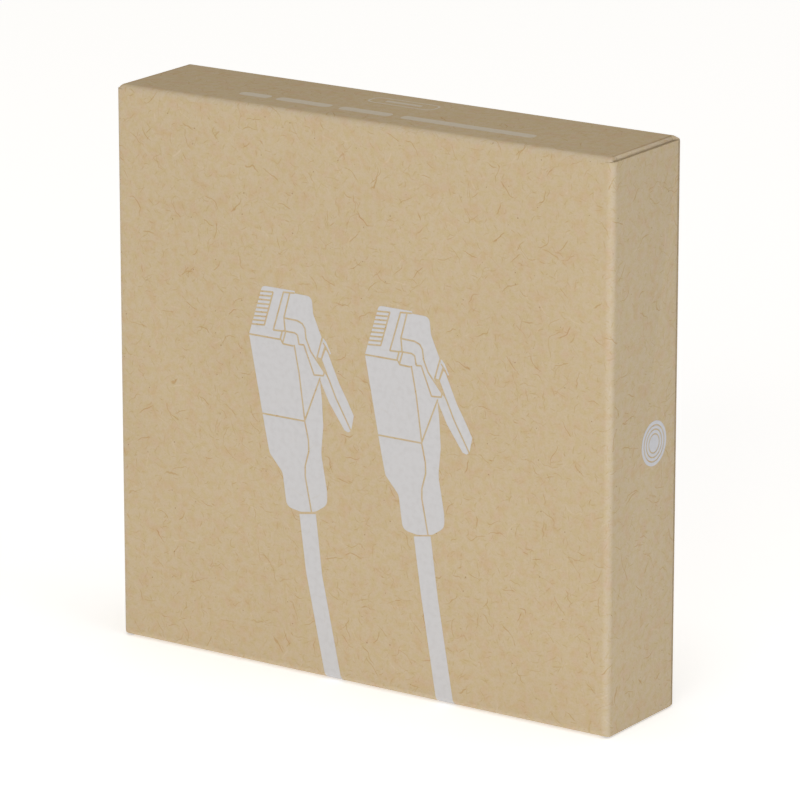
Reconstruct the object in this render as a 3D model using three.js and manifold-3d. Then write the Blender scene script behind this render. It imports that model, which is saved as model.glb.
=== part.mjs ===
// A straight tuck-end carton for a coiled network cable, folded from one die-cut sheet of kraft
// board and closed by a tuck lid at each end.
// Millimetres, +Z up. The carton stands on its bottom panel, its printed front faces -Y, and the
// origin is at the centre of its footprint.
import * as THREE from "three";
import { mergeVertices } from "three/addons/utils/BufferGeometryUtils.js";
import Module from "manifold-3d";

const wasm = await Module();
wasm.setup();

// ---- Carton ----
const cartonWidth = 130; // X
const cartonDepth = 27.5; // Y
const cartonHeight = 128; // Z
const board = 0.5; // thickness of the kraft board
const wallCrease = 1.6; // outer radius of the creases between walls, and between front and lids
const flapCrease = 1.1; // outer radius of the creases at dust flaps and the glue flap
const creaseSlit = 0.3; // gap at the middle of a crease, where two panels meet
const creaseSteps = 4; // facets in each half of a crease

// ---- Closures, alike at both ends ----
const lidTopInset = 0.9; // raw upper edge of a lid, down from the top face
const lidBottomInset = 0.2; // raw lower edge of a lid, up from the bottom face
const tuckLength = 11; // from the tuck crease to the tuck's free edge
const tuckInset = 4.5; // tuck's side edges, in from the top and bottom faces
const tuckCorner = 6; // rounding of the tuck's free corners
const tuckCrease = 0.7; // outer radius of the tuck's crease, which is pressed sharp
const tuckClearance = 0.05; // between the lid's corner line and the back panel
const tuckRatio = 0.25; // tuck unfolds by this share of the lid's swing
const tuckSwingRoom = 0.35; // what the tuck's free edge keeps from the back panel as it comes out
const dustLength = 21; // from the dust crease to the flap's free edge
const dustGap = 0.3; // between a lid and the dust flap under it
const dustSideGap = 2.1; // between a dust flap's root and the front and back panels
const dustFrontTaper = 0.55; // how fast the edge by the lid's crease leans in, so that the lid clears it
const dustBackTaper = 0.15; // the same at the tuck's side
const dustCorner = 3; // rounding of a dust flap's free corners

// ---- Glued seam at the lower back edge ----
const glueLength = 13; // height of the glue flap
const glueLine = 0.3; // between the glue flap and the back panel
const glueTaper = 0.35; // how fast its ends lean in
const glueInset = 8; // ends of the glue flap, in from the ends of the bottom panel

const kraft = new THREE.MeshStandardMaterial({ color: 0xc8b28c, roughness: 0.9, metalness: 0 });

// ---- Solids ----

function solidOf(geometry) {
  const bare = geometry.clone();
  bare.deleteAttribute("normal");
  bare.deleteAttribute("uv");
  const merged = mergeVertices(bare, 1e-4);
  return new wasm.Manifold(
    new wasm.Mesh({
      numProp: 3,
      vertProperties: merged.attributes.position.array,
      triVerts: new Uint32Array(merged.index.array),
    }),
  );
}

function geometryOf(solid) {
  const made = solid.getMesh();
  return new THREE.BufferGeometry()
    .setAttribute("position", new THREE.BufferAttribute(Float32Array.from(made.vertProperties), 3))
    .setIndex(new THREE.BufferAttribute(Uint32Array.from(made.triVerts), 1));
}

function meshOf(name, geometry, material) {
  const mesh = new THREE.Mesh(geometry, material);
  mesh.name = name;
  return mesh;
}

// ---- Folding ----
// A frame describes one panel: `along` runs across the panel to its next crease, `out` is its
// outward normal, and `origin` lies on its outer face. The third axis, along x out, is `side`.

function frameAt(origin, along, out) {
  return { origin, along, out, side: new THREE.Vector3().crossVectors(along, out) };
}

function pointOn(frame, s, n, e) {
  return frame.origin
    .clone()
    .addScaledVector(frame.along, s)
    .addScaledVector(frame.out, n)
    .addScaledVector(frame.side, e);
}

// The frame of the panel that is folded inwards by `angle` about the corner line at `s`.
function foldedFrame(frame, s, angle) {
  const along = frame.along
    .clone()
    .multiplyScalar(Math.cos(angle))
    .addScaledVector(frame.out, -Math.sin(angle));
  const out = frame.out
    .clone()
    .multiplyScalar(Math.cos(angle))
    .addScaledVector(frame.along, Math.sin(angle));
  return frameAt(pointOn(frame, s, 0, 0), along, out);
}

// The length from a fold's corner line to where the flat board begins.
function foldRun(fold) {
  return fold.radius * Math.tan(fold.angle / 2);
}

// Half of a crease as [s, n] points at `radius` from the crease's own centre, from the flat outwards.
function halfCrease(fold, radius) {
  const reach = fold.angle / 2 - creaseSlit / 2 / (fold.radius - board / 2);
  const points = [];
  for (let i = 0; i <= creaseSteps; i++) {
    const angle = (reach * i) / creaseSteps;
    points.push([radius * Math.sin(angle), radius * Math.cos(angle) - fold.radius]);
  }
  return points;
}

// One strip of board. `from` and `to` are its ends along the frame, each a raw edge or, where
// startFold or endFold is given, the corner line of a crease. low and high are its two sides.
function strip(frame, { from, to, low, high, startFold, endFold }) {
  const start = startFold ? from + foldRun(startFold) : from;
  const end = endFold ? to - foldRun(endFold) : to;
  const ends = (fold, radius, edge, sign) =>
    fold
      ? halfCrease(fold, radius).map(([s, n]) => new THREE.Vector2(edge + sign * s, n))
      : [new THREE.Vector2(edge, radius ? 0 : -board)];
  const outer = [
    ...ends(startFold, startFold ? startFold.radius : 1, start, -1).reverse(),
    ...ends(endFold, endFold ? endFold.radius : 1, end, 1),
  ];
  const inner = [
    ...ends(endFold, endFold ? endFold.radius - board : 0, end, 1).reverse(),
    ...ends(startFold, startFold ? startFold.radius - board : 0, start, -1),
  ];
  const profile = new THREE.Shape([...outer, ...inner].reverse());
  const geometry = new THREE.ExtrudeGeometry(profile, { depth: high - low, bevelEnabled: false });
  geometry.translate(0, 0, low);
  geometry.applyMatrix4(new THREE.Matrix4().makeBasis(frame.along, frame.out, frame.side));
  geometry.translate(frame.origin.x, frame.origin.y, frame.origin.z);
  return solidOf(geometry);
}

// The part of a strip inside an outline given as a THREE.Shape of (along, side).
function trimmed(frame, solid, outline) {
  const reach = cartonDepth;
  const geometry = new THREE.ExtrudeGeometry(outline, {
    depth: 2 * reach,
    bevelEnabled: false,
    curveSegments: 5,
  });
  geometry.translate(0, 0, -reach);
  const inwards = frame.out.clone().negate();
  geometry.applyMatrix4(new THREE.Matrix4().makeBasis(frame.along, frame.side, inwards));
  geometry.translate(frame.origin.x, frame.origin.y, frame.origin.z);
  return solid.intersect(solidOf(geometry));
}

// A flap's outline: its root at `root`, its free edge at `tip`, and its free corners rounded as far
// as the free edge has room for.
function flapOutline(root, tip, rootLow, rootHigh, tipLow, tipHigh, corner) {
  const shape = new THREE.Shape();
  const span = tip - root;
  const round = Math.min(corner, 0.45 * (tipHigh - tipLow), 0.45 * span);
  const lowLean = (tipLow - rootLow) / span;
  const highLean = (rootHigh - tipHigh) / span;
  shape.moveTo(root, rootLow);
  shape.lineTo(tip - round, tipLow - lowLean * round);
  shape.quadraticCurveTo(tip, tipLow, tip, tipLow + round);
  shape.lineTo(tip, tipHigh - round);
  shape.quadraticCurveTo(tip, tipHigh, tip - round, tipHigh + highLean * round);
  shape.lineTo(root, rootHigh);
  shape.closePath();
  return shape;
}

// ---- Panels ----
const axis = {
  right: new THREE.Vector3(1, 0, 0),
  left: new THREE.Vector3(-1, 0, 0),
  back: new THREE.Vector3(0, 1, 0),
  front: new THREE.Vector3(0, -1, 0),
  up: new THREE.Vector3(0, 0, 1),
  down: new THREE.Vector3(0, 0, -1),
};
const squareFold = { angle: Math.PI / 2, radius: wallCrease };
const flapFold = { angle: Math.PI / 2, radius: flapCrease };
const halfWidth = cartonWidth / 2;
const frontCentre = new THREE.Vector3(0, -cartonDepth / 2, cartonHeight / 2);
const innerDepth = cartonDepth - 2 * board;

// The tuck's free edge swings out on a circle about the lid's crease. It leans in at rest by as
// much as that circle needs to stay clear of the back panel.
const lidDepth = cartonDepth - board - tuckClearance;
const tuckBulge = (tuckLength * (1 + tuckRatio)) ** 2 / (2 * (lidDepth - wallCrease));
const tuckLean = Math.asin((tuckBulge + tuckSwingRoom) / tuckLength);
const tuckFold = { angle: Math.PI / 2 + tuckLean, radius: tuckCrease };

// A closed dust flap's outer face, which is also the corner line at each end of the top and bottom.
const wallEnd = halfWidth - board - dustGap;

const glueFaceY = cartonDepth / 2 - board - glueLine; // outer face of the glue flap

// The front panel has a crease on each of its four sides, and open corners.
function frontPanel() {
  const upright = frameAt(frontCentre, axis.up, axis.front);
  const across = frameAt(frontCentre, axis.right, axis.front);
  const tall = strip(upright, {
    from: -cartonHeight / 2,
    to: cartonHeight / 2,
    low: -halfWidth + wallCrease,
    high: halfWidth - wallCrease,
    startFold: squareFold,
    endFold: squareFold,
  });
  const wide = strip(across, {
    from: -halfWidth,
    to: halfWidth,
    low: -cartonHeight / 2 + wallCrease,
    high: cartonHeight / 2 - wallCrease,
    startFold: squareFold,
    endFold: squareFold,
  });
  return tall.add(wide);
}

// The top panel: creases to the front and back panels, and to a dust flap at each end.
function topPanel() {
  const origin = new THREE.Vector3(0, 0, cartonHeight);
  const acrossDepth = frameAt(origin, axis.back, axis.up);
  const acrossWidth = frameAt(origin, axis.right, axis.up);
  const walls = strip(acrossDepth, {
    from: -cartonDepth / 2,
    to: cartonDepth / 2,
    low: -wallEnd + flapCrease,
    high: wallEnd - flapCrease,
    startFold: squareFold,
    endFold: squareFold,
  });
  return walls.add(dustRoots(acrossWidth));
}

// The bottom panel: the same, but its back edge turns up into the glue flap inside the back panel.
function bottomPanel() {
  const origin = new THREE.Vector3(0, 0, 0);
  const acrossDepth = frameAt(origin, axis.back, axis.down);
  const acrossWidth = frameAt(origin, axis.right, axis.down);
  const walls = strip(acrossDepth, {
    from: -cartonDepth / 2,
    to: glueFaceY,
    low: -wallEnd + flapCrease,
    high: wallEnd - flapCrease,
    startFold: squareFold,
    endFold: flapFold,
  });
  return walls.add(dustRoots(acrossWidth));
}

// The strip between the creases of a wall's two dust flaps.
function dustRoots(frame) {
  const inside = innerDepth / 2 - dustSideGap;
  return strip(frame, {
    from: -wallEnd,
    to: wallEnd,
    low: -inside,
    high: inside,
    startFold: flapFold,
    endFold: flapFold,
  });
}

// The back panel: creased to the top panel, with raw edges at its ends and at the glued seam. Its
// upper corners are cut away beside the dust creases.
function backPanel() {
  const frame = frameAt(new THREE.Vector3(0, cartonDepth / 2, cartonHeight), axis.down, axis.back);
  const to = cartonHeight - creaseSlit;
  const crownHalf = wallEnd - flapCrease;
  const crown = { from: 0, to, low: -crownHalf, high: crownHalf, startFold: squareFold };
  const plate = { from: lidTopInset + wallCrease, to, low: -halfWidth, high: halfWidth };
  return strip(frame, crown).add(strip(frame, plate));
}

// The glue flap: stands inside the back panel and closes the tube.
function glueFlap() {
  const bottom = frameAt(new THREE.Vector3(0, 0, 0), axis.back, axis.down);
  const frame = foldedFrame(bottom, glueFaceY, flapFold.angle);
  const half = wallEnd - glueInset;
  const flap = strip(frame, { from: 0, to: glueLength, low: -half, high: half, startFold: flapFold });
  const tip = half - glueTaper * glueLength;
  return trimmed(frame, flap, flapOutline(0, glueLength, -half, half, -tip, tip, dustCorner));
}

// A span from `bottom` to `top`, as the low and high sides of a strip in a frame on its side.
function spanAlong(frame, bottom, top) {
  return frame.side.z > 0 ? { low: bottom, high: top } : { low: -top, high: -bottom };
}

// The lid at one end: creased to the front panel, with the tuck flap along its far edge.
function lidFrame(direction) {
  return foldedFrame(frameAt(frontCentre, direction, axis.front), halfWidth, squareFold.angle);
}

function lidPanel(direction) {
  const frame = lidFrame(direction);
  return strip(frame, {
    from: 0,
    to: lidDepth,
    ...spanAlong(frame, -cartonHeight / 2 + lidBottomInset, cartonHeight / 2 - lidTopInset),
    startFold: squareFold,
    endFold: tuckFold,
  });
}

function tuckFlap(direction) {
  const frame = foldedFrame(lidFrame(direction), lidDepth, tuckFold.angle);
  const half = cartonHeight / 2 - tuckInset;
  const tip = half - tuckCorner / 2;
  const flap = strip(frame, { from: 0, to: tuckLength, low: -half, high: half, startFold: tuckFold });
  return trimmed(frame, flap, flapOutline(0, tuckLength, -half, half, -tip, tip, tuckCorner));
}

// A dust flap at one end of the top or bottom panel.
function dustFlap(direction, wallOut, wallZ) {
  const wall = frameAt(new THREE.Vector3(0, 0, wallZ), direction, wallOut);
  const frame = foldedFrame(wall, wallEnd, flapFold.angle);
  const root = innerDepth / 2 - dustSideGap;
  const flap = strip(frame, { from: 0, to: dustLength, low: -root, high: root, startFold: flapFold });
  const frontTip = -root + dustFrontTaper * dustLength;
  const backTip = root - dustBackTaper * dustLength;
  const frontIsLow = frame.side.y > 0;
  const [low, high] = frontIsLow ? [frontTip, backTip] : [-backTip, -frontTip];
  return trimmed(frame, flap, flapOutline(0, dustLength, -root, root, low, high, dustCorner));
}

// ---- Assembly ----
function carton() {
  const group = new THREE.Group();
  const panel = (name, solid) => group.add(meshOf(name, geometryOf(solid), kraft));
  panel("front_panel", frontPanel());
  panel("top_panel", topPanel());
  panel("back_panel", backPanel());
  panel("bottom_panel", bottomPanel());
  panel("glue_flap", glueFlap());
  for (const [end, direction] of [["right", axis.right], ["left", axis.left]]) {
    panel(`${end}_lid`, lidPanel(direction));
    panel(`${end}_tuck_flap`, tuckFlap(direction));
    panel(`${end}_dust_flap_top`, dustFlap(direction, axis.up, cartonHeight));
    panel(`${end}_dust_flap_bottom`, dustFlap(direction, axis.down, 0));
  }
  return group;
}

export default carton();
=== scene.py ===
import math
import bmesh
import bpy
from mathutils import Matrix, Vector, geometry


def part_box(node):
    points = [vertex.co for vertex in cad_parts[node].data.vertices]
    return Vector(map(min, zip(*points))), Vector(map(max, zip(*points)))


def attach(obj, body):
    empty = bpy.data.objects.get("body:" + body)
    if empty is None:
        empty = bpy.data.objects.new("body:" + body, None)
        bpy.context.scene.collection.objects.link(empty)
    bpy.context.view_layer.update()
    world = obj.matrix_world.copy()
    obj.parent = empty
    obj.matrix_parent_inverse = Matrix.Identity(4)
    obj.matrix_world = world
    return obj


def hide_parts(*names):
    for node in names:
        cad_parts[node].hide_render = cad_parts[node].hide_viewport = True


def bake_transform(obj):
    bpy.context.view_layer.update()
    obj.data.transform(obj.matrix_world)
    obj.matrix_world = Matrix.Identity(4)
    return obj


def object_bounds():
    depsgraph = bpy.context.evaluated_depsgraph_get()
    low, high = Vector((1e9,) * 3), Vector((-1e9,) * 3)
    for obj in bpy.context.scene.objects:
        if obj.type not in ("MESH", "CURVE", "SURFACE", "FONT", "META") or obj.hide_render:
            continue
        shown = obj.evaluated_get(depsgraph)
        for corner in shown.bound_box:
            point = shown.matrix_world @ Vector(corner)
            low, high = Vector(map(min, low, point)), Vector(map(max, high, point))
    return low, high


# A straight tuck-end carton of kraft board, folded from one flat blank and printed in pale ink.
# Lengths are in millimetres and become metres where a mesh is made.
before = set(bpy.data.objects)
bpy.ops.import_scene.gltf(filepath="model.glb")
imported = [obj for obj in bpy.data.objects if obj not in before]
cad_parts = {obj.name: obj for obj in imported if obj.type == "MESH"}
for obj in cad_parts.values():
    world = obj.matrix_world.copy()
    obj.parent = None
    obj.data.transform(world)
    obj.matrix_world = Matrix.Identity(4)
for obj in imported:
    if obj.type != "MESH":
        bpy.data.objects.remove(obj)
cadLow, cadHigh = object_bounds()

mm = 0.001
size = (cadHigh - cadLow) / mm
halfWidth, halfDepth, height = size.x / 2, size.y / 2, size.z

# The camera comes first, and the carton has no cord.
camera = {
    "place": (0.6589, -0.9673, 0.3904),
    "aim": (0.0106, -0.0128, 0.0670),
    "lens": 248.3,
    "sensor": 36.0,
}


def makeCamera():
    data = bpy.data.cameras.new("camera")
    data.lens, data.sensor_width = camera["lens"], camera["sensor"]
    made = bpy.data.objects.new("camera", data)
    bpy.context.scene.collection.objects.link(made)
    made.location = camera["place"]
    look = Vector(camera["aim"]) - made.location
    made.rotation_euler = look.to_track_quat("-Z", "Y").to_euler()
    bpy.context.scene.camera = made


makeCamera()
print("camera set")

# The whole carton is one sheet, so each panel knows where it lies on the flat blank as well.
# d runs along a panel to its next crease, e across it, and h is the depth below its outer face.


class Panel:
    def __init__(self, origin, along, out, blank=(0, 0), blankAlong=(0, 1), blankSide=(1, 0)):
        self.origin, self.along, self.out = Vector(origin), Vector(along), Vector(out)
        self.side = self.along.cross(self.out)
        self.blank = Vector(blank)
        self.blankAlong, self.blankSide = Vector(blankAlong), Vector(blankSide)

    def onBlank(self, d, e):
        return self.blank + self.blankAlong * d + self.blankSide * e

    def turned(self, along):  # the same panel, measured in another direction
        along = Vector(along)
        side = along.cross(self.out)

        def flat(v):
            return self.blankAlong * v.dot(self.along) + self.blankSide * v.dot(self.side)

        return Panel(self.origin, along, self.out, self.blank, flat(along), flat(side))

    def folded(self, corner, radius, angle):  # the next panel, past the crease whose corner line is at d
        taken = 2 * radius * math.tan(angle / 2) - radius * angle
        along = self.along * math.cos(angle) - self.out * math.sin(angle)
        out = self.out * math.cos(angle) + self.along * math.sin(angle)
        origin = self.origin + self.along * corner
        return Panel(origin, along, out, self.onBlank(corner - taken, 0), self.blankAlong, self.blankSide)


class Roll:  # a crease, as an arc from where the flat board ends
    def __init__(self, flatEnd, radius, angle=math.pi / 2):
        self.flatEnd, self.radius, self.angle = flatEnd, radius, angle
        self.length = radius * angle

    def place(self, past, h):
        turn = min(past / self.radius, self.angle)
        rest = past - self.radius * turn
        inner = self.radius - h
        s = inner * math.sin(turn) + rest * math.cos(turn)
        n = inner * math.cos(turn) - self.radius - rest * math.sin(turn)
        return s, n, turn


def foldedPoint(panel, d, e, h, startRoll, endRoll, shape):
    turn, atEnd = 0, True
    if endRoll and d > endRoll.flatEnd:
        s, n, turn = endRoll.place(d - endRoll.flatEnd, h)
        s += endRoll.flatEnd
    elif startRoll and d < startRoll.flatEnd:
        s, n, turn = startRoll.place(startRoll.flatEnd - d, h)
        s, atEnd = startRoll.flatEnd - s, False
    else:
        s, n = d, -h
    if shape:
        s, n, e = shape(s, n, e, d, h, turn, atEnd)
    return panel.origin + panel.along * s + panel.out * n + panel.side * e


board = {
    "thickness": 0.5,
    "wallRadius": 1.6,
    "flapRadius": 0.85,
    "tuckRadius": 0.55,
    "arcSteps": 8,  # cuts in a crease
    "lap": 0.4,  # flat board that a crease strip takes with it on each side
    "rawRounding": 0.06,  # a die leaves the cut edges a little rounded
    "cornerSteps": 5,  # corners in the curve that rounds an outline's corner
    "cornerShare": 0.48,  # the most of an edge that one rounding takes, so that two never meet
    "scoreDepth": 0.16,
    "scoreWidth": 0.22,
    "sharpAngle": 30,  # edges that bend more than this, in degrees, are shaded sharp
}
same = 1e-4  # lengths that differ by less than this are one length
thick, wallR, flapR, tuckR = (board[k] for k in ("thickness", "wallRadius", "flapRadius", "tuckRadius"))
lap = board["lap"]


def rounded(corners, steps=board["cornerSteps"]):  # corners are (x, y, rounding)
    points = []
    most = board["cornerShare"]
    for i, (x, y, radius) in enumerate(corners):
        here = Vector((x, y))
        before = Vector(corners[i - 1][:2]) - here
        after = Vector(corners[(i + 1) % len(corners)][:2]) - here
        if radius <= 0:
            points.append(here)
            continue
        half = before.angle(after) / 2
        reach = min(radius / math.tan(half), most * before.length, most * after.length)
        start, end = here + before.normalized() * reach, here + after.normalized() * reach
        for k in range(steps + 1):
            t = k / steps
            points.append(start * (1 - t) ** 2 + here * (2 * t * (1 - t)) + end * t * t)
    return points


def signedArea(points):
    return sum(a.x * b.y - b.x * a.y for a, b in zip(points, points[1:] + points[:1])) / 2


def creaseWearAndSheen(d, startRoll, endRoll):  # 1 along the middle of a crease, where the board is stretched and paler, and where the painted highlight for the roll's sheen goes
    for roll, sign in ((startRoll, -1), (endRoll, 1)):
        if roll:
            share = sign * (d - roll.flatEnd) / roll.length
            if 0 < share < 1:
                return math.sin(math.pi * share)
    return 0.0


def scoreCuts(at):
    return [(0, at + k * board["scoreWidth"]) for k in (-2, -1, 0, 1, 2)]


def scoreLine(at, d):  # 1 in the pressed line at the start of a dust flap's crease; it sets the groove's depth and where the painted shade goes
    return math.exp(-(((abs(d) - at) / board["scoreWidth"]) ** 2))


def flatSlab(bm, points, faces, top, bottom):
    verts = [bm.verts.new((p[0], p[1], -top)) for p in points]
    for face in faces:
        bm.faces.new([verts[i] for i in face])
    bm.normal_update()
    for face in bm.faces:
        if face.normal.z < 0:
            face.normal_flip()
    lower = bmesh.ops.extrude_face_region(bm, geom=list(bm.faces), use_keep_orig=True)
    for vert in [g for g in lower["geom"] if isinstance(g, bmesh.types.BMVert)]:
        vert.co.z = -bottom
    bmesh.ops.recalc_face_normals(bm, faces=bm.faces)


def roundRims(bm, rounding, butts):  # all edges of the outline, but not where it butts on another piece
    def isRim(edge):
        if len(edge.link_faces) != 2:
            return False
        tilts = sorted(abs(face.normal.z) for face in edge.link_faces)
        return tilts[0] < 0.1 and sum(tilts) > 0.9

    def isButt(edge):
        return any(
            all(abs(abs(v.co[axis]) - abs(value)) < same and v.co[axis] * value > 0 for v in edge.verts)
            for axis, value in butts
        )

    rims = [e for e in bm.edges if isRim(e) and not isButt(e)]
    bmesh.ops.bevel(bm, geom=rims, offset=rounding, segments=2, profile=0.5, affect="EDGES")


def cutAcross(bm, axis, at):
    everything = bm.verts[:] + bm.edges[:] + bm.faces[:]
    normal = (1, 0, 0) if axis == 0 else (0, 1, 0)
    bmesh.ops.bisect_plane(bm, geom=everything, plane_co=(at, at, 0), plane_no=normal)


def addAttribute(mesh, name, kind, field, values):
    made = mesh.attributes.new(name, kind, "POINT")
    for point, value in zip(made.data, values):
        setattr(point, field, value)


def makePiece(name, panel, points, faces, **how):  # a flat slab of board, then folded point by point
    startRoll, endRoll = how.get("startRoll"), how.get("endRoll")
    bm = bmesh.new()
    flatSlab(bm, points, faces, how.get("top", 0), how.get("bottom", thick))
    if how.get("rounding"):
        roundRims(bm, how["rounding"], how.get("butts", []))
    for axis, at in how.get("cuts", []):
        cutAcross(bm, axis, at)
    for roll, sign in ((startRoll, -1), (endRoll, 1)):
        for k in range(board["arcSteps"] + 1 if roll else 0):
            cutAcross(bm, 0, roll.flatEnd + sign * roll.length * k / board["arcSteps"])
    bm.normal_update()
    for face in bm.faces:
        face.smooth = True
        face.material_index = 0 if abs(face.normal.z) > 0.95 else 1
    flat = [v.co.copy() for v in bm.verts]
    for vert, co in zip(bm.verts, flat):
        vert.co = foldedPoint(panel, co.x, co.y, -co.z, startRoll, endRoll, how.get("shape")) * mm
    bmesh.ops.recalc_face_normals(bm, faces=bm.faces)
    bm.normal_update()
    for edge in bm.edges:
        if len(edge.link_faces) == 2:
            edge.smooth = edge.calc_face_angle() < math.radians(board["sharpAngle"])
    mesh = bpy.data.meshes.new(name)
    bm.to_mesh(mesh)
    bm.free()
    blank = [(*panel.onBlank(co.x, co.y), co.z) for co in flat]
    wearAndSheen = [creaseWearAndSheen(co.x, startRoll, endRoll) for co in flat]
    score = [scoreLine(how["score"], co.x) if "score" in how else 0 for co in flat]
    addAttribute(mesh, "blankFlat", "FLOAT_VECTOR", "vector", blank)
    addAttribute(mesh, "creaseWearAndSheen", "FLOAT", "value", wearAndSheen)
    addAttribute(mesh, "scoreLine", "FLOAT", "value", score)
    made = bpy.data.objects.new(name, mesh)
    bpy.context.scene.collection.objects.link(made)
    return made


def boardPiece(name, body, node, panel, outline, **how):
    points = outline if isinstance(outline[0], Vector) else rounded(outline)
    if signedArea(points) < 0:
        points = points[::-1]
    how.setdefault("rounding", board["rawRounding"])
    made = makePiece(name, panel, points, [range(len(points))], **how)
    for material in boardMaterials:
        made.data.materials.append(material)
    if body:
        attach(made, body)
    if node:
        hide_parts(node)
    return made


# A Wire is a socket that takes arithmetic: each operation adds the node that does it.


class Wire:
    def __init__(self, shader, socket):
        self.shader, self.socket = shader, socket

    def math(self, operation, *others):
        values = dict(enumerate((self, *others)))
        return self.shader.wire(self.shader.node("ShaderNodeMath", {"operation": operation}, values), 0)

    def __add__(self, other):
        return self.math("ADD", other)

    def __sub__(self, other):
        return self.math("SUBTRACT", other)

    def __mul__(self, other):
        return self.math("MULTIPLY", other)

    def __rsub__(self, other):
        settings = {"operation": "SUBTRACT"}
        return self.shader.wire(self.shader.node("ShaderNodeMath", settings, {0: other, 1: self}), 0)

    __radd__, __rmul__ = __add__, __mul__

    def ramp(self, low, high):  # 0 at low, 1 at high, eased between
        made = self.shader.node(
            "ShaderNodeMapRange",
            {"interpolation_type": "SMOOTHSTEP"},
            {"Value": self, "From Min": low, "From Max": high},
        )
        return self.shader.wire(made, "Result")


class Shader:
    def __init__(self, name):
        self.material = bpy.data.materials.new(name)
        self.material.use_nodes = True
        self.tree = self.material.node_tree
        self.tree.nodes.clear()

    def node(self, kind, settings, values):
        made = self.tree.nodes.new(kind)
        for key, value in settings.items():
            setattr(made, key, value)
        for key, value in values.items():
            if isinstance(value, Wire):
                self.tree.links.new(value.socket, made.inputs[key])
            else:
                made.inputs[key].default_value = value
        return made

    def wire(self, node, output):
        return Wire(self, node.outputs[output])

    def vector(self, operation, a, b):
        return self.wire(self.node("ShaderNodeVectorMath", {"operation": operation}, {0: a, 1: b}), 0)

    def scaled(self, a, factor):
        return self.wire(
            self.node("ShaderNodeVectorMath", {"operation": "SCALE"}, {0: a, "Scale": factor}), 0
        )

    def split(self, vector):
        node = self.node("ShaderNodeSeparateXYZ", {}, {0: vector})
        return [self.wire(node, i) for i in range(3)]

    def mix(self, a, b, factor):
        settings = {"data_type": "RGBA", "blend_type": "MIX"}
        return self.wire(self.node("ShaderNodeMix", settings, {0: factor, 6: a, 7: b}), 2)

    def tinted(self, colour, tint, factor):  # colour times tint, as far as the factor says
        settings = {"data_type": "RGBA", "blend_type": "MULTIPLY"}
        return self.wire(self.node("ShaderNodeMix", settings, {0: factor, 6: colour, 7: tint}), 2)

    def attribute(self, name, output):
        return self.wire(self.node("ShaderNodeAttribute", {"attribute_name": name}, {}), output)

    def noise(self, at, grain, detail=2.0, roughness=0.5, output=0):  # grain is the size of a blotch, in mm
        values = {"Vector": at, "Scale": 1 / grain, "Detail": detail, "Roughness": roughness}
        return self.wire(self.node("ShaderNodeTexNoise", {"noise_dimensions": "3D"}, values), output)

    def finish(self, colour, roughness, bumpHeight, bumpDistance, specular):
        bump = self.node(
            "ShaderNodeBump", {}, {"Strength": 1.0, "Distance": bumpDistance * mm, "Height": bumpHeight}
        )
        surface = self.node(
            "ShaderNodeBsdfPrincipled",
            {},
            {
                "Base Color": colour,
                "Roughness": roughness,
                "Specular IOR Level": specular,
                "Normal": self.wire(bump, 0),
            },
        )
        self.node("ShaderNodeOutputMaterial", {}, {"Surface": self.wire(surface, 0)})
        return self.material


fibreSpread = {
    "layerShift": (37.1, 11.3),  # each layer of fibres is the same pattern from further along
    "scatter": 0.9,
    "sag": 1.2,  # moves a bent fibre back over its middle
    "core": 0.25,  # the share of a fibre's width that is fully dark
    "faintest": 0.15,
    "wiggleGrain": 3.2,
}


def fibreWiggle(s, at):
    coloured = s.noise(at, fibreSpread["wiggleGrain"], detail=1.5, output="Color")
    return s.vector("SUBTRACT", coloured, (0.5, 0.5, 0.5))


def fibres(s, at, wiggle, look):  # one bent line in each cell, in several layers
    total = None
    for i in range(look["layers"]):
        shiftU, shiftV = fibreSpread["layerShift"]
        moved = s.vector("ADD", at, (look["shift"] + shiftU * i, shiftV * i, 0))
        moved = s.vector("ADD", moved, s.scaled(wiggle, look["wiggle"]))
        cells = s.node(
            "ShaderNodeTexVoronoi",
            {"voronoi_dimensions": "2D", "feature": "F1"},
            {"Vector": moved, "Scale": 1 / look["cell"], "Randomness": fibreSpread["scatter"]},
        )
        turnShare, bendShare, sizeShare = s.split(s.wire(cells, "Color"))
        x, y, _ = s.split(s.vector("SUBTRACT", moved, s.wire(cells, "Position")))
        angle = turnShare * (2 * math.pi)
        cosine, sine = angle.math("COSINE"), angle.math("SINE")
        along = x * cosine + y * sine
        across = y * cosine - x * sine
        bend = (bendShare - 0.5) * look["bend"]
        away = (across - bend * along * along + bend * fibreSpread["sag"]).math("ABSOLUTE")
        reach = sizeShare * (look["longest"] - look["shortest"]) + look["shortest"]
        line = away.ramp(look["width"], look["width"] * fibreSpread["core"])
        ends = (reach - along.math("ABSOLUTE")).ramp(0, look["fade"])
        fresh = (turnShare * 7.31 + sizeShare * 3.7).math("FRACT")  # a third share out of the other two
        faintest = fibreSpread["faintest"]
        strength = fresh.math("POWER", look["rarity"]) * (1 - faintest) + faintest
        mask = line * ends * strength
        total = mask if total is None else total.math("MAXIMUM", mask)
    return total


def specks(s, at, look):
    moved = s.vector("ADD", at, (look["shift"], 5, 0))
    cells = s.node(
        "ShaderNodeTexVoronoi",
        {"voronoi_dimensions": "2D", "feature": "F1"},
        {"Vector": moved, "Scale": 1 / look["cell"], "Randomness": 1.0},
    )
    share = s.split(s.wire(cells, "Color"))[0]
    away = s.wire(cells, "Distance") * look["cell"]
    radius = share * look["radius"]
    return (radius - away).ramp(0, look["radius"] * look["softness"])


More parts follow.
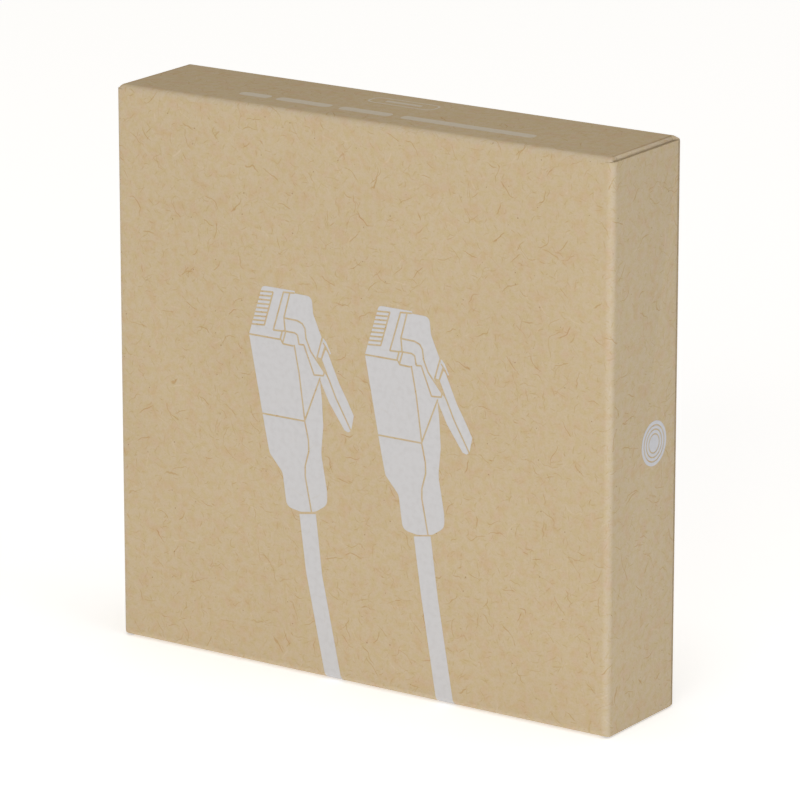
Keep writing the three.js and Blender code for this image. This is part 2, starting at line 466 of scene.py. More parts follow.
kraft = {
    "colour": (0.557, 0.450, 0.304, 1),
    "warm": (0.97, 0.955, 0.83, 1),
    "pink": (1.0, 0.93, 0.92, 1),
    "fibre": (0.84, 0.68, 0.45, 1),
    "faintFibre": (0.88, 0.80, 0.63, 1),
    "paleFibre": (1.10, 1.12, 1.18, 1),
    "speck": (0.62, 0.50, 0.38, 1),
    # a paler, cooler colour for the crease rolls: partly the stretched board's own whitening, partly a
    # painted highlight for the roll's sheen
    "wornAndSheen": (1.06, 1.10, 1.22, 1),
    # this colour is painted shade for the pressed line at the start of each dust flap's crease
    "score": (0.68, 0.56, 0.50, 1),
    "cloud": (0.93, 0.92, 0.90, 1),
    "fine": (0.95, 0.94, 0.92, 1),
    "shortShare": 0.75,  # how strongly each mark tints the board
    "paleShare": 0.6,
    "longShare": 0.85,
    "speckShare": 0.8,
    "wornAndSheenShare": 0.7,
    "scoreShare": 0.8,
    "mottleRamp": (0.35, 0.7),  # where each noise starts to tint, and where it tints fully
    "hueRamp": (0.45, 0.7),
    "fineRamp": (0.4, 0.75),
    "relief": {"fine": 0.35, "mottle": 0.5, "long": 0.3, "short": 0.15, "dark": 0.2},
    "reliefDepth": 0.05,
    "innerShift": 61.0,  # the inner face shows other fibres than the outer one
    "roughness": 0.82,
    "specular": 0.22,
    "cloudGrain": 28,
    "mottleGrain": 1.7,
    "hueGrain": 3.4,
    "fineGrain": 0.45,
}
longFibres = {
    "layers": 5, "cell": 8.6, "shift": 3, "wiggle": 2.6, "bend": 0.34, "width": 0.15,
    "shortest": 0.5, "longest": 2.9, "fade": 1.0, "rarity": 1.5,
}
shortFibres = {
    "layers": 3, "cell": 2.9, "shift": 91, "wiggle": 1.2, "bend": 0.9, "width": 0.17,
    "shortest": 0.3, "longest": 1.1, "fade": 0.5, "rarity": 1.3,
}
paleFibres = {
    "layers": 1, "cell": 7.0, "shift": 171, "wiggle": 1.6, "bend": 0.4, "width": 0.2,
    "shortest": 0.8, "longest": 2.6, "fade": 0.8, "rarity": 1.0,
}
darkSpecks = {"cell": 6.5, "shift": 17, "radius": 0.2, "softness": 0.3}


def kraftShader(name):
    s = Shader(name)
    flat = s.attribute("blankFlat", "Vector")
    u, v, depth = s.split(flat)
    inner = (depth * -1).math("GREATER_THAN", thick / 2)
    surface = s.node("ShaderNodeCombineXYZ", {}, {0: u + inner * kraft["innerShift"], 1: v, 2: 0.0})
    at = s.wire(surface, 0)
    wiggle = fibreWiggle(s, at)
    cloud = s.noise(at, kraft["cloudGrain"], detail=2)
    mottle = s.noise(at, kraft["mottleGrain"], detail=3, roughness=0.6)
    hue = s.noise(s.vector("ADD", at, (400, 90, 0)), kraft["hueGrain"], detail=3, roughness=0.6)
    fine = s.noise(at, kraft["fineGrain"], detail=2)
    long = fibres(s, at, wiggle, longFibres)
    short = fibres(s, at, wiggle, shortFibres)
    pale = fibres(s, at, wiggle, paleFibres)
    dark = specks(s, at, darkSpecks)
    wearAndSheen = s.attribute("creaseWearAndSheen", "Fac")
    colour = s.mix(kraft["colour"], s.tinted(kraft["colour"], kraft["cloud"], 1.0), cloud)
    colour = s.tinted(colour, kraft["warm"], mottle.ramp(*kraft["mottleRamp"]))
    colour = s.tinted(colour, kraft["pink"], hue.ramp(*kraft["hueRamp"]))
    colour = s.tinted(colour, kraft["fine"], fine.ramp(*kraft["fineRamp"]))
    colour = s.tinted(colour, kraft["faintFibre"], short * kraft["shortShare"])
    colour = s.tinted(colour, kraft["paleFibre"], pale * kraft["paleShare"])
    colour = s.tinted(colour, kraft["fibre"], long * kraft["longShare"])
    colour = s.tinted(colour, kraft["speck"], dark * kraft["speckShare"])
    # the crease rolls are painted paler and cooler: partly the stretched board's own whitening, partly a
    # painted highlight standing in for the roll's sheen
    colour = s.tinted(colour, kraft["wornAndSheen"], wearAndSheen * kraft["wornAndSheenShare"])
    # painted shade darkens the pressed score line beside each dust flap's crease
    colour = s.tinted(colour, kraft["score"], s.attribute("scoreLine", "Fac") * kraft["scoreShare"])
    parts = kraft["relief"]
    relief = fine * parts["fine"] + mottle * parts["mottle"] + long * parts["long"]
    relief = relief + short * parts["short"] - dark * parts["dark"]
    rough = mottle * 0.1 + (kraft["roughness"] - 0.05)
    return s.finish(colour, rough, relief, kraft["reliefDepth"], kraft["specular"])


cutEdge = {
    "colour": (0.47, 0.37, 0.235, 1),
    "shade": (0.78, 0.74, 0.68, 1),
    "fuzz": (0.9, 0.88, 0.86, 1),
    "ply": 0.09,  # the grain of the plies across the board's thickness
    "plyStretch": 0.15,  # and how much of it there is along the edge
    "plyRamp": (0.4, 0.62),
    "fuzzGrain": 0.3,
    "fuzzRamp": (0.4, 0.7),
    "reliefDepth": 0.03,
    "roughness": 0.9,
    "specular": 0.15,
}


def cutEdgeShader(name):
    s = Shader(name)
    flat = s.attribute("blankFlat", "Vector")
    u, v, depth = s.split(flat)
    stretch = cutEdge["plyStretch"]
    stretched = s.wire(s.node("ShaderNodeCombineXYZ", {}, {0: u * stretch, 1: v * stretch, 2: depth}), 0)
    plies = s.noise(stretched, cutEdge["ply"], detail=2)
    fuzz = s.noise(flat, cutEdge["fuzzGrain"], detail=2)
    colour = s.tinted(cutEdge["colour"], cutEdge["shade"], plies.ramp(*cutEdge["plyRamp"]))
    colour = s.tinted(colour, cutEdge["fuzz"], fuzz.ramp(*cutEdge["fuzzRamp"]))
    rough = fuzz * 0.08 + (cutEdge["roughness"] - 0.04)
    relief = plies * 0.6 + fuzz * 0.4
    return s.finish(colour, rough, relief, cutEdge["reliefDepth"], cutEdge["specular"])


ink = {
    "colour": (0.565, 0.558, 0.565, 1),
    "faintColour": (0.60, 0.53, 0.42, 1),
    "shade": (0.96, 0.955, 0.95, 1),
    "showing": (0.97, 0.94, 0.88, 1),  # where a fibre of the board lifts the ink
    "mottleGrain": 1.3,
    "mottleRamp": (0.4, 0.7),
    "fineGrain": 0.4,
    "showingShare": 0.7,
    "reliefDepth": 0.03,
    "roughness": 0.62,
    "specular": 0.25,
}


def inkShader(name, colourKey):
    s = Shader(name)
    at = s.attribute("blankFlat", "Vector")
    wiggle = fibreWiggle(s, at)
    u, v, _ = s.split(at)
    flat = s.wire(s.node("ShaderNodeCombineXYZ", {}, {0: u, 1: v, 2: 0.0}), 0)
    mottle = s.noise(flat, ink["mottleGrain"], detail=3)
    fine = s.noise(flat, ink["fineGrain"], detail=2)
    long = fibres(s, flat, wiggle, {**longFibres, "layers": 2})
    colour = s.tinted(ink[colourKey], ink["shade"], mottle.ramp(*ink["mottleRamp"]))
    colour = s.tinted(colour, ink["showing"], long * ink["showingShare"])
    rough = mottle * 0.08 + (ink["roughness"] - 0.04)
    relief = fine * 0.3 + mottle * 0.4 + long * 0.2
    return s.finish(colour, rough, relief, ink["reliefDepth"], ink["specular"])


kraftMaterial = kraftShader("kraft_board_face")
edgeMaterial = cutEdgeShader("kraft_board_cut_edge")
inkMaterial = inkShader("pale_grey_ink", "colour")
faintInkMaterial = inkShader("faint_grey_ink", "faintColour")
boardMaterials = [kraftMaterial, edgeMaterial]
print("materials made")

# The walls follow on from the front panel around the blank.
up, right, left = (0, 0, 1), (1, 0, 0), (-1, 0, 0)
front = Panel((0, -halfDepth, 0), up, (0, -1, 0))
square = math.pi / 2
topPanel = front.folded(height, wallR, square)
backPanel = topPanel.folded(2 * halfDepth, wallR, square)
bottomPanel = front.turned((0, 0, -1)).folded(0, wallR, square)

walls = {
    "flapGap": 0.14,  # between a lid and the dust flaps under it
    "lidTop": 0.9,
    "lidBottom": 0.2,
    "slit": 0.02,  # the die's cut between a flap's crease and the board beside it
    "earClear": 0.015,  # the front board's ears start this far above the lid's crease
    "earSteps": ((0.02, 0.9, 0.1), (0.2, 1.5, 0.2)),  # up from there, out from the front's edge, rounding
    "earHeight": 0.8,
    "earCorner": 0.4,
    "backCorner": 0.15,
    "backSteps": (0.3, 0.9),  # where the back panel's end steps out to the shoulder
    "backStepCorner": 0.3,
    "wallCorner": 0.1,
    "shoulderCuts": 6,
    "dustRootInset": 2.6,  # a dust flap's root, in from the front and back faces
    "shoulderDrop": 0.3,  # how far the board beside a dust flap goes on down behind the lid
    "backGap": 0.1,  # the back panel's cut edge, up from the floor
    "backInset": 0.35,  # the back panel's cut ends, in from the lids' outer faces
    "glueEdge": 0.85,  # the bottom panel's cut edge beside the glue flap, in from the back face
    "glueInset": 8.0,
    "glueLength": 13.0,
    "glueTaper": 0.35,
    "glueCorner": 3,
    "glueRootCorner": 0.5,
    "glueLine": 0.3,
}
wallEnd = halfWidth - thick - walls["flapGap"]
crown = wallEnd - flapR  # where the top and bottom start to roll down to their dust flaps
rootHalf = halfDepth - walls["dustRootInset"]
shoulder = crown + flapR * square + walls["shoulderDrop"]
quarter = wallR * square
lidTopZ = height - walls["lidTop"]


def bentPast(e, start, radius, h):  # where a point past a crease's start ends up, and how far it drops
    past = max(0, abs(e) - start)
    turn = min(past / radius, square)
    inner = radius - h
    drop = inner * (1 - math.cos(turn)) + past - radius * turn
    return math.copysign(min(abs(e), start) + inner * math.sin(turn), e), drop


def frontShape(s, n, e, d, h, turn, atEnd):
    # a front corner follows the lid's crease where it faces forwards, and the dust flap's on top
    if not atEnd or turn <= 0:
        return s, n, e
    topX, drop = bentPast(e, crown, flapR, h)
    lidX, inset = bentPast(e, halfWidth - wallR, wallR, h)
    facingUp = math.sin(turn) ** 2
    return s - drop * facingUp, n - inset * (1 - facingUp), topX * facingUp + lidX * (1 - facingUp)


def turnAt(z):  # the roll's turn where a wall's outer face reaches a height, near the top
    return math.asin((z - (height - wallR)) / wallR)


def mirrored(points):  # an outline's right half, from the bottom up, and its mirror image
    return points + [(d, -e, r) for d, e, r in reversed(points)]


def shoulderCuts():
    steps = [k / walls["shoulderCuts"] for k in range(walls["shoulderCuts"])]
    return [(1, sign * (crown + k * (shoulder - crown))) for k in steps for sign in (-1, 1)]


def frontBoard():
    startRoll, endRoll = Roll(wallR, wallR), Roll(height - wallR, wallR)
    edge = halfWidth - wallR - lap
    low, high = startRoll.flatEnd - quarter - lap, endRoll.flatEnd + quarter + lap
    ear = endRoll.flatEnd + wallR * turnAt(lidTopZ) + walls["earClear"]
    steps = [(ear + up, edge + out, rounding) for up, out, rounding in walls["earSteps"]]
    outline = mirrored([
        (low, edge, 0), (ear, edge, 0), *steps,
        (ear + walls["earHeight"], shoulder, walls["earCorner"]), (high, shoulder, 0),
    ])
    boardPiece(
        "front_board", "carton_tube", "front_panel", front, outline,
        startRoll=startRoll, endRoll=endRoll, shape=frontShape, cuts=shoulderCuts(),
        butts=[(0, low), (0, high), (1, edge), (1, -edge)],
    )


def backShape(s, n, e, d, h, turn, atEnd):
    # a back corner's upper end rolls down to the dust flaps as well
    if atEnd or turn <= 0:
        return s, n, e
    x, drop = bentPast(e, crown, flapR, h)
    eased = math.sin(turn) ** 4
    return s + drop * eased, n, e + (x - e) * eased


def backBoard():
    startRoll = Roll(wallR, wallR)
    low, high = wallR - quarter - lap, height - walls["backGap"]
    plateTop = wallR - wallR * turnAt(lidTopZ)
    plateEnd = halfWidth - walls["backInset"]
    wide, narrow = (plateTop - step for step in walls["backSteps"])
    corner = walls["backStepCorner"]
    outline = mirrored([
        (high, plateEnd, walls["backCorner"]), (wide, plateEnd, corner), (narrow, shoulder, corner),
        (low, shoulder, 0),
    ])
    boardPiece(
        "back_board", "carton_tube", "back_panel", backPanel, outline,
        startRoll=startRoll, shape=backShape, cuts=shoulderCuts(), butts=[(0, low)],
    )


def wallBoard(name, node, panel, backReach):
    # the top or bottom: its ends roll down beside the notches that the dust flaps' strips fill
    across = panel.turned(right)
    sign = 1 if across.side.y > 0 else -1
    edge = halfDepth - wallR - lap
    backEdge = halfDepth - walls["glueEdge"] if backReach else edge
    notch = crown - lap
    slit = rootHalf + walls["slit"]
    middle = -halfDepth  # the panel's own origin lies at the front corner line

    def half(end, y):
        inner = math.copysign(slit, y)
        return [(end * shoulder, y, 0), (end * shoulder, inner, walls["wallCorner"]), (end * notch, inner, 0)]

    outline = half(1, -edge) + half(1, backEdge)[::-1]
    if backReach:
        ends = crown - walls["glueInset"] + flapR
        outline += [(ends, backEdge, 0), (ends, backReach, 0), (-ends, backReach, 0), (-ends, backEdge, 0)]
    outline += half(-1, backEdge) + half(-1, -edge)[::-1]
    outline = [(d, sign * (y - middle), r) for d, y, r in outline]
    endRoll, startRoll = Roll(crown, flapR), Roll(-crown, flapR)
    butts = [(0, notch), (0, -notch)] + [(1, sign * (y - middle)) for y in (backReach or edge, -edge)]
    cuts = scoreCuts(crown) + scoreCuts(-crown) + [(1, sign * (y - middle)) for y in (-rootHalf, rootHalf)]

    def shape(s, n, e, d, h, turn, atEnd):
        if abs(sign * e + middle) > rootHalf:
            n -= board["scoreDepth"] * scoreLine(crown, d)
        return s, n, e

    boardPiece(
        name, "carton_tube", node, across, outline,
        startRoll=startRoll, endRoll=endRoll, shape=shape, cuts=cuts, butts=butts, score=crown,
    )


def flapOutline(root, tip, rootLow, rootHigh, tipLow, tipHigh, corner):
    return [
        (root, rootLow, 0), (tip, tipLow, corner), (tip, tipHigh, corner), (root, rootHigh, 0),
    ]


glueFaceY = halfDepth - thick - walls["glueLine"]


def glueBoard():
    panel = bottomPanel.folded(glueFaceY + halfDepth, flapR, square)
    startRoll = Roll(flapR, flapR)
    low = flapR - flapR * square - lap
    half = wallEnd - walls["glueInset"]
    length, corner, root = walls["glueLength"], walls["glueCorner"], walls["glueRootCorner"]
    tip = half - walls["glueTaper"] * length
    outline = [
        (low, -half, 0), (0, -half, root), (length, -tip, corner), (length, tip, corner), (0, half, root),
        (low, half, 0),
    ]
    boardPiece(
        "glue_flap_board", "carton_tube", "glue_flap", panel, outline, startRoll=startRoll, butts=[(0, low)]
    )


def creaseStrip(name, bodies, panel, roll, ends, cuts=(), **how):
    # the board of one crease: it bends between the two panels that it joins
    low, high = roll.flatEnd - lap, roll.flatEnd + roll.length + lap
    outline = [Vector(p) for p in ((low, ends[0]), (high, ends[0]), (high, ends[1]), (low, ends[1]))]
    made = boardPiece(
        name, None, None, panel, outline, endRoll=roll, cuts=cuts, butts=[(0, low), (0, high)], **how
    )
    first = foldedPoint(panel, roll.flatEnd, 0, 0, None, roll, None)
    last = foldedPoint(panel, roll.flatEnd + roll.length, 0, 0, None, roll, None)
    hold = (last - first) * (thick / (2 * roll.radius))  # a step in from each end, along the strip; nothing uses it
    (first + hold) * mm
    (last - hold) * mm
    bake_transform(made)


closures = {
    "tuckLength": 11.0,
    "tuckInset": 4.5,
    "tuckCorner": 6.0,
    "tuckClearance": 0.05,
    "dustLength": 21.0,
    "dustFrontTaper": 0.55,
    "dustBackTaper": 0.15,
    "dustCorner": 3.0,
    "shoulderShare": 0.5,  # how far the lid's edge is rolled beside the tuck
    "lidCorner": 0.5,
    "slitCorner": 0.15,
    "endCuts": 4,  # cuts in each end of a lid's crease, which follows the front's own creases
}


def lidPanelOf(direction):
    return front.turned(direction).folded(halfWidth, wallR, square)


def lidPieces(end, direction):
    side = front.turned(direction)
    lid = lidPanelOf(direction)
    sign = 1 if lid.side.z > 0 else -1
    lidDepth = 2 * halfDepth - thick - closures["tuckClearance"]
    tuckLow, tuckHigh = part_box(end + "_tuck_flap")
    reach = halfWidth - min(abs(tuckLow.x), abs(tuckHigh.x)) / mm
    angle = square + math.acos(min(1, reach / closures["tuckLength"]))
    run = tuckR * math.tan(angle / 2)
    tuckRoll = Roll(lidDepth - run, tuckR, angle)
    lidRoll = Roll(halfWidth - wallR, wallR)
    low, high = wallR + lap, tuckRoll.flatEnd - lap
    reachOut = tuckRoll.flatEnd + tuckRoll.length * closures["shoulderShare"]
    bottomZ, topZ = walls["lidBottom"], lidTopZ
    tuckLowZ, tuckHighZ = closures["tuckInset"], height - closures["tuckInset"]
    slit = walls["slit"]
    corner, slitCorner = closures["lidCorner"], closures["slitCorner"]
    lowSlit, highSlit = tuckLowZ - slit, tuckHighZ + slit
    outline = [
        (low, bottomZ, 0), (reachOut, bottomZ, corner), (reachOut, lowSlit, slitCorner), (high, lowSlit, 0),
        (high, highSlit, 0), (reachOut, highSlit, slitCorner), (reachOut, topZ, corner), (low, topZ, 0),
    ]
    boardPiece(
        end + "_lid_board", end + "_lid", end + "_lid", lid, [(d, sign * z, r) for d, z, r in outline],
        endRoll=tuckRoll, butts=[(0, low), (0, high)],
    )

    def cornerShape(s, n, e, d, h, turn, atEnd):  # the strip's ends follow the front's own rolls
        z = sign * e
        past = min(max(z - (height - wallR), wallR - z, 0), wallR)
        return s, n - (wallR - math.sqrt(wallR**2 - past**2)) * math.cos(turn) ** 2, e

    zCuts = [wallR * (k + 1) / closures["endCuts"] for k in range(closures["endCuts"])]
    cuts = [(1, sign * z) for z in zCuts] + [(1, sign * (height - z)) for z in zCuts]
    creaseStrip(
        end + "_lid_crease_strip", ("carton_tube", end + "_lid"), side, lidRoll,
        shape=cornerShape, ends=(sign * bottomZ, sign * topZ), cuts=cuts,
    )
    creaseStrip(
        end + "_tuck_crease_strip", (end + "_lid", end + "_tuck_flap"), lid, tuckRoll,
        ends=(sign * tuckLowZ, sign * tuckHighZ),
    )
    tuck = lid.folded(lidDepth, tuckR, angle)
    corner = closures["tuckCorner"]
    tipLow, tipHigh = tuckLowZ + corner / 2, tuckHighZ - corner / 2
    outline = flapOutline(run + lap, closures["tuckLength"], tuckLowZ, tuckHighZ, tipLow, tipHigh, corner)
    boardPiece(
        end + "_tuck_board", end + "_tuck_flap", end + "_tuck_flap", tuck,
        [(d, sign * z, r) for d, z, r in outline], butts=[(0, run + lap)],
    )


def dustPieces(end, direction, where, wall):
    across = wall.turned(direction)
    flap = across.folded(wallEnd, flapR, square)
    sign = 1 if flap.side.y > 0 else -1
    middle = sign * halfDepth  # the panels' origin lies at the front corner line
    name = end + "_dust_flap_" + where
    roll = Roll(crown, flapR)
    length = closures["dustLength"]

    def shape(s, n, e, d, h, turn, atEnd):
        return s, n - board["scoreDepth"] * scoreLine(crown, d), e

    creaseStrip(
        end + "_dust_crease_strip_" + where, ("carton_tube", name), across, roll,
        shape=shape, ends=(middle - rootHalf, middle + rootHalf), cuts=scoreCuts(crown), score=crown,
    )
    frontTip = -rootHalf + closures["dustFrontTaper"] * length
    backTip = rootHalf - closures["dustBackTaper"] * length
    outline = flapOutline(flapR + lap, length, -rootHalf, rootHalf, frontTip, backTip, closures["dustCorner"])
    boardPiece(
        end + "_dust_board_" + where, name, name, flap, [(d, sign * y + middle, r) for d, y, r in outline],
        butts=[(0, flapR + lap)],
    )


frontBoard()
backBoard()
wallBoard("top_board", "top_panel", topPanel, None)
wallBoard("bottom_board", "bottom_panel", bottomPanel, glueFaceY - flapR - lap)
glueBoard()
for end, direction in (("right", right), ("left", left)):
    lidPieces(end, direction)
    dustPieces(end, direction, "top", topPanel)
    dustPieces(end, direction, "bottom", bottomPanel)
print("board pieces made")

# The drawing is pale ink with its lines left bare. Each closed outline is a list of corners
# (x, z, rounding), and each line a list of points, both from the panel's middle and lower edge.
drawing = {
    "line": 0.40,
    "inkTop": -0.03,
    "inkBottom": -0.004,
    "spacing": 31.0,
    "shift": 0.8,
    "squeeze": 0.986,  # heights above the boot's lower edge are drawn this much smaller
    "bootLow": 38.0,
    "body": [
        (-26.1, 88.4, 1.2), (-17.4, 88.4, 0.1), (-17.4, 87.85, 0.1), (-12.9, 87.8, 1.6), (-12.5, 83.9, 2),
        (-10.2, 78.7, 1.0), (-11.4, 74.0, 0.3), (-9.7, 71.0, 0.1), (-9.8, 70.1, 0.1), (-10.8, 69.4, 0.2),
        (-10.25, 64.5, 5), (-9.9, 58.5, 6), (-10.5, 52.0, 8), (-8.95, 43.4, 4), (-8.9, 40.3, 2.4),
        (-12.0, 38.2, 3), (-16.0, 37.5, 3), (-19.8, 38.1, 2), (-20.9, 45.9, 2), (-24.4, 49.9, 2),
        (-25.6, 55.5, 5), (-28.7, 71.3, 8), (-29.75, 76.7, 0.15),
    ],
    "leverRight": [
        (-9.4, 76.5, 0.1), (-8.6, 75.5, 0.2), (-5.7, 69.1, 2), (-3.4, 65.2, 2), (-1.75, 62.1, 0.5),
        (-2.45, 58.6, 0.1), (-6.5, 65.6, 2), (-8.2, 69.5, 1), (-9.0, 71.3, 0.2), (-10.2, 73.9, 0.1),
    ],
    "leverLeft": [
        (-2.45, 58.6, 0.4), (-3.2, 58.1, 0.3), (-4.2, 58.4, 0.5), (-8.3, 64.2, 3), (-10.1, 67.8, 1),
        (-10.8, 69.4, 0.1), (-9.6, 70.9, 0.1), (-8.3, 69.4, 0.2), (-6.5, 65.5, 2),
    ],
    "clip": [(-10.15, 78.2, 0.1), (-9.5, 77.0, 0.1), (-10.5, 74.0, 0.1), (-11.3, 74.2, 0.1)],
    "hook": [
        (-10.0, 78.9, 0.2), (-9.0, 77.9, 0.6), (-7.8, 75.5, 0.2), (-8.2, 75.0, 0.1), (-9.2, 76.7, 0.3),
        (-9.9, 77.7, 0.1),
    ],
    "lines": [
        [(-23.2, 87.3), (-25.6, 79.4)],
        [(-17.6, 87.9), (-20.4, 87.7), (-23.2, 78.6), (-20.7, 78.7)],
        [(-18.7, 87.8), (-20.3, 81.9), (-20.0, 78.7)],
        [(-20.2, 81.8), (-16.8, 81.7), (-15.4, 81.2), (-14.7, 80.2), (-14.4, 77.9), (-13.2, 75.2),
         (-9.6, 71.0)],
        [(-20.7, 78.8), (-17.5, 78.8), (-16.7, 78.4), (-16.3, 76.3), (-15.0, 76.4), (-12.3, 69.9),
         (-9.8, 70.1), (-9.6, 70.9)],
        [(-30.0, 76.7), (-21.4, 76.7)],
        [(-20.8, 78.6), (-21.3, 76.9), (-20.6, 75.8), (-17.8, 75.7)],
        [(-19.9, 78.6), (-20.6, 76.3)],
        [(-17.6, 76.0), (-16.3, 69.5), (-14.85, 59.0)],
        [(-26.8, 58.8), (-14.85, 58.8)],
        [(-14.85, 59.0), (-10.7, 69.4)],
        [(-14.9, 58.9), (-13.9, 54.6), (-13.8, 52.0), (-14.8, 48.4), (-14.8, 46.0), (-13.1, 37.6)],
        [(-10.1, 78.7), (-11.5, 74.0), (-9.6, 70.9)],
        [(-9.8, 77.6), (-9.0, 76.6), (-8.1, 75.0)],
        [(-9.1, 76.8), (-10.4, 73.7)],
        [(-9.3, 71.2), (-8.3, 69.4), (-6.5, 65.5), (-2.5, 58.6)],
    ],
    "contactGaps": 9,
    "contactLength": (3.4, 0.25),
    "cables": [
        [(-15.6, 36.9, 0), (-11.2, 37.65, 0), (-9.6, 24, 9), (-4.3, -0.5, 0), (-8.6, -0.5, 0),
         (-13.9, 24, 9)],
        [(14.9, 37.0, 0), (19.3, 37.75, 0), (21.2, 24, 9), (25.5, -0.5, 0), (21.0, -0.5, 0),
         (16.8, 24, 9)],
    ],
}


def onPolygon(point, polygon):
    inside = False
    for a, b in zip(polygon, polygon[1:] + polygon[:1]):
        if (a.y > point.y) != (b.y > point.y):
            if point.x < a.x + (b.x - a.x) * (point.y - a.y) / (b.y - a.y):
                inside = not inside
    return inside


def nearLine(point, line):
    best = 1e9
    for a, b in zip(line, line[1:]):
        along = b - a
        t = max(0, min(1, (point - a).dot(along) / along.length_squared))
        best = min(best, (point - (a + along * t)).length)
    return best


def bandOf(line, width):  # a band with square ends for each straight stretch of a line
    polygons = []
    for a, b in zip(line, line[1:]):
        way = (b - a).normalized()
        normal = Vector((-way.y, way.x)) * (width / 2)
        polygons.append([a + normal, b + normal, b - normal, a - normal])
    return polygons


def inked(name, body, panel, shapes, lines, material, width=None, place=None, evenOdd=False, startRoll=None):
    # shapes and lines are (x, z), and place turns such a point into the panel's own (d, e)
    width = width or drawing["line"]
    points, edges = [], []
    for polygon in shapes + [p for line in lines for p in bandOf(line, width)]:
        base = len(points)
        points += polygon
        edges += [(base + i, base + (i + 1) % len(polygon)) for i in range(len(polygon))]
    made = geometry.delaunay_2d_cdt(points, edges, [], 0, same)
    verts, faces = made[0], made[2]
    kept = []
    for face in faces:
        middle = sum((verts[i] for i in face), Vector((0, 0))) / len(face)
        bare = any(nearLine(middle, line) < width / 2 for line in lines)
        covered = sum(onPolygon(middle, shape) for shape in shapes)
        if not bare and (covered % 2 if evenOdd else covered):
            kept.append(face)
    used = sorted({i for face in kept for i in face})
    index = {old: new for new, old in enumerate(used)}
    flat = [place(verts[i]) if place else (verts[i].y, verts[i].x) for i in used]
    piece = makePiece(
        name, panel, flat, [[index[i] for i in face] for face in kept],
        top=drawing["inkTop"], bottom=drawing["inkBottom"], startRoll=startRoll,
    )
    for slotMaterial in (material, material):  # faces and rims are inked alike
        piece.data.materials.append(slotMaterial)
    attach(piece, body)


def plugPrint(name, shift):
    boot, squeeze = drawing["bootLow"], drawing["squeeze"]

    def moved(points):
        return [Vector((p[0] + shift, boot + (p[1] - boot) * squeeze)) for p in points]

    shapes = [moved(rounded(drawing[key])) for key in ("body", "leverRight", "leverLeft", "clip", "hook")]
    lines = [moved(line) for line in drawing["lines"]]
    first, last = (Vector(p) for p in drawing["lines"][0])
    for i in range(drawing["contactGaps"]):  # the bare gaps on each side of the eight contacts
        end = first.lerp(last, i / (drawing["contactGaps"] - 1))
        lines.append(moved([end - Vector(drawing["contactLength"]), end]))
    inked(name, "carton_tube", front, shapes, lines, inkMaterial)


frontRoll = Roll(wallR, wallR)
plugPrint("left_plug_print", drawing["shift"])
plugPrint("right_plug_print", drawing["shift"] + drawing["spacing"])
for name, corners in zip(("left_cable_print", "right_cable_print"), drawing["cables"]):
    inked(name, "carton_tube", front, [rounded(corners, 8)], [], inkMaterial, startRoll=frontRoll)

# The lid's mark is a plain coil of cable, and the top's line of print is plain bars.
mark = {"centre": (17.8, 62.0), "outer": 5.0, "rings": (4.05, 3.1, 2.1), "line": 0.32, "steps": 56}
bars = {
    "y": (-6.9, -4.0),
    "spans": [(-36.7, -28.7), (-26.8, -12.5), (-10.1, 3.4), (6.1, 40.3)],
    "ring": (-9.5, 8.0, 2.9, 8.1),
    "ringRounding": 2.2,
    "ringLine": 0.5,
    "ringBar": (4.9, 6.2),
    "ringBarInset": 4,
    "ringBarRounding": 0.4,
}


def circle(centre, radius, steps):
    angles = [2 * math.pi * k / steps for k in range(steps)]
    return [Vector((centre[0] + radius * math.cos(a), centre[1] + radius * math.sin(a))) for a in angles]


def lidMark():
    lid = lidPanelOf(right)
    sign = 1 if lid.side.z > 0 else -1
    centre, steps = mark["centre"], mark["steps"]
    rings = [circle(centre, r, steps) for r in mark["rings"]]
    lines = [ring + ring[:1] for ring in rings]
    outer = circle(centre, mark["outer"], steps)
    inked(
        "lid_mark_print", "right_lid", lid, [outer], lines, inkMaterial, width=mark["line"],
        place=lambda p: (p.x, sign * p.y),
    )


def roundedBox(left, right, low, high, rounding):
    return rounded([(x, y, rounding) for x, y in ((left, low), (right, low), (right, high), (left, high))])


def topBars():
    low, high = bars["y"]
    shapes = [roundedBox(a, b, low, high, (high - low) / 2) for a, b in bars["spans"]]
    a, b, c, d = bars["ring"]
    r, w, inset = bars["ringRounding"], bars["ringLine"], bars["ringBarInset"]
    shapes.append(roundedBox(a, b, c, d, r))
    shapes.append(roundedBox(a + w, b - w, c + w, d - w, r - w))
    shapes.append(roundedBox(a + inset, b - inset, *bars["ringBar"], bars["ringBarRounding"]))
    inked(
        "top_bars_print", "carton_tube", topPanel, shapes, [], faintInkMaterial, evenOdd=True,
        place=lambda p: (p.y + halfDepth, p.x),
    )


lidMark()
topBars()
print("print made")

# A pale floor and soft light.
studio = {
    "floor": 6.0,
    "floorDrop": 0.0002,
    "floorColour": (0.90, 0.90, 0.90, 1),
    "floorGlow": 0.42,
    "ambient": 0.2,
    "backdrop": 0.95,
    "above": {"power": 1.23, "colour": (1.0, 0.96, 0.89), "softness": 50},
    "lamps": {
        "front": {"place": (0.27, -1.25, 0.42), "size": 0.9, "power": 6.9, "colour": (1.0, 0.985, 0.96)},
        "side": {"place": (1.6, -0.25, 0.45), "size": 0.9, "power": 5.2, "colour": (0.87, 0.97, 1.18)},
    },
}


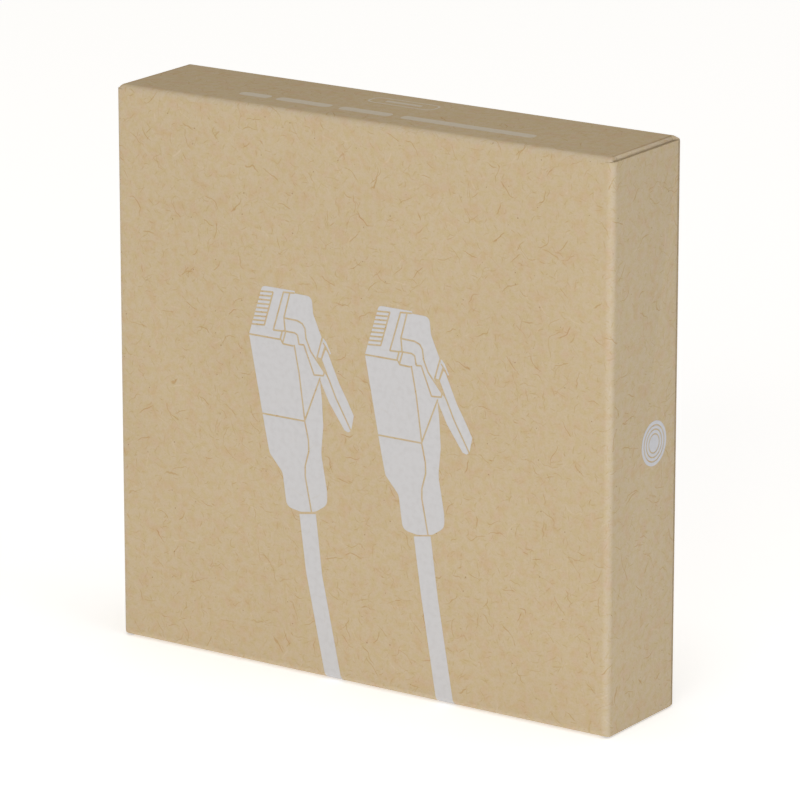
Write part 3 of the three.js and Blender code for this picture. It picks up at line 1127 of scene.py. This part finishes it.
def makeFloor():
    mesh = bpy.data.meshes.new("floor")
    half = studio["floor"] / 2
    level = cadLow.z - studio["floorDrop"]
    corners = [(-half, -half, level), (half, -half, level), (half, half, level), (-half, half, level)]
    mesh.from_pydata(corners, [], [range(4)])
    floor = bpy.data.objects.new("floor", mesh)
    bpy.context.scene.collection.objects.link(floor)
    s = Shader("pale_floor")
    surface = s.node(
        "ShaderNodeBsdfPrincipled",
        {},
        {
            "Base Color": studio["floorColour"],
            "Roughness": 0.9,
            "Specular IOR Level": 0.1,
            "Emission Color": (1, 1, 1, 1),
            "Emission Strength": studio["floorGlow"],
        },
    )
    s.node("ShaderNodeOutputMaterial", {}, {"Surface": s.wire(surface, 0)})
    mesh.materials.append(s.material)


def makeLight():
    world = bpy.data.worlds.new("studio")
    world.use_nodes = True
    tree = world.node_tree
    dim = tree.nodes["Background"]
    dim.inputs["Color"].default_value = (1, 1, 1, 1)
    dim.inputs["Strength"].default_value = studio["ambient"]
    bright = tree.nodes.new("ShaderNodeBackground")  # what shows past the floor's edge
    bright.inputs["Color"].default_value = (1, 1, 1, 1)
    bright.inputs["Strength"].default_value = studio["backdrop"]
    rays, either = tree.nodes.new("ShaderNodeLightPath"), tree.nodes.new("ShaderNodeMixShader")
    tree.links.new(rays.outputs["Is Camera Ray"], either.inputs[0])
    tree.links.new(dim.outputs[0], either.inputs[1])
    tree.links.new(bright.outputs[0], either.inputs[2])
    tree.links.new(either.outputs[0], tree.nodes["World Output"].inputs[0])
    bpy.context.scene.world = world
    above = bpy.data.lights.new("above", "SUN")
    above.energy, above.color = studio["above"]["power"], studio["above"]["colour"]
    above.angle = math.radians(studio["above"]["softness"])
    bpy.context.scene.collection.objects.link(bpy.data.objects.new("above", above))
    for name, look in studio["lamps"].items():
        data = bpy.data.lights.new(name, "AREA")
        data.size, data.energy, data.color = look["size"], look["power"], look["colour"]
        light = bpy.data.objects.new(name, data)
        bpy.context.scene.collection.objects.link(light)
        light.location = look["place"]
        aim = Vector((0, 0, cadHigh.z / 2)) - light.location
        light.rotation_euler = aim.to_track_quat("-Z", "Y").to_euler()
    bpy.context.scene.view_settings.view_transform = "Standard"


makeFloor()
makeLight()
print("finished")
